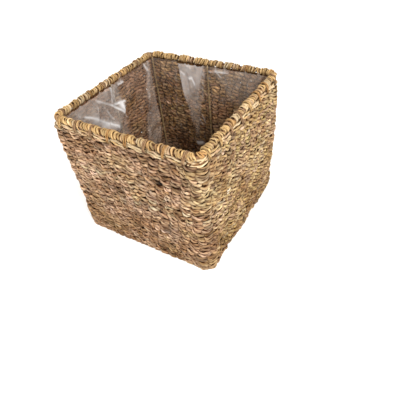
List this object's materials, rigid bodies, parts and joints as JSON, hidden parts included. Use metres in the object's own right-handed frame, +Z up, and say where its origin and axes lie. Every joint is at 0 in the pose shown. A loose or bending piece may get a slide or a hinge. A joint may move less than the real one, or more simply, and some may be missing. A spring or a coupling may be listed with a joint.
{
  "type": "storage basket",
  "caption": "Square open-topped storage basket of twined seagrass on a painted wire frame, with a wrapped rim and a clear film liner.",
  "frame": {"origin": "centre of the flat underside that the basket stands on", "axes": "+Z up through the open mouth; +X, +Y, -X and -Y each point out through the middle of one wall"},
  "size_m": [0.253, 0.253, 0.22],
  "materials": {
    "seagrass_weave": "twisted dry grass strand, matt with a faint straw sheen",
    "seagrass_gold": "golden dry grass cord, matt",
    "seagrass_pale": "pale bleached grass ends, matt",
    "seagrass_dark": "dark dry grass stalks, matt",
    "brown_wire": "olive brown paint on steel wire, satin",
    "clear_film": "thin clear film, glossy, creased"
  },
  "bodies": {
    "root": {"woven_base": "seagrass_dark", "weft_row_01": "seagrass_weave", "weft_row_02": "seagrass_weave", "weft_row_03": "seagrass_weave", "weft_row_04": "seagrass_weave", "weft_row_05": "seagrass_weave", "weft_row_06": "seagrass_weave", "weft_row_07": "seagrass_weave", "weft_row_08": "seagrass_weave", "weft_row_09": "seagrass_weave", "weft_row_10": "seagrass_weave", "weft_row_11": "seagrass_weave", "weft_row_12": "seagrass_weave", "weft_row_13": "seagrass_weave", "weft_row_14": "seagrass_weave", "weft_row_15": "seagrass_weave", "weft_row_16": "seagrass_weave", "weft_row_17": "seagrass_weave", "weft_row_18": "seagrass_weave", "weft_row_19": "seagrass_weave", "weft_row_20": "seagrass_weave", "weft_row_21": "seagrass_weave", "weft_row_22": "seagrass_weave", "weft_row_23": "seagrass_weave", "weft_row_24": "seagrass_weave", "weft_row_25": "seagrass_weave", "weft_row_26": "seagrass_weave", "weft_row_27": "seagrass_weave", "weft_row_28": "seagrass_weave", "weft_row_29": "seagrass_weave", "weft_row_30": "seagrass_weave", "weft_row_31": "seagrass_weave", "weft_row_32": "seagrass_weave", "weft_row_33": "seagrass_weave", "border_row": "seagrass_pale", "wall_stakes_right": "seagrass_dark", "wall_stakes_back": "seagrass_dark", "wall_stakes_left": "seagrass_dark", "wall_stakes_front": "seagrass_dark", "frame_base_ring": "brown_wire", "frame_top_ring": "brown_wire", "frame_post_right": "brown_wire", "frame_post_back": "brown_wire", "frame_post_left": "brown_wire", "frame_post_front": "brown_wire", "frame_post_back_right": "brown_wire", "frame_post_back_left": "brown_wire", "frame_post_front_left": "brown_wire", "frame_post_front_right": "brown_wire", "rim_core": "seagrass_weave", "rim_wrap_right": "seagrass_gold", "rim_wrap_back": "seagrass_gold", "rim_wrap_left": "seagrass_gold", "rim_wrap_front": "seagrass_gold", "rim_lashings_right": "seagrass_gold", "rim_lashings_back": "seagrass_gold", "rim_lashings_left": "seagrass_gold", "rim_lashings_front": "seagrass_gold", "film_liner": "clear_film"}
  },
  "joints": []
}
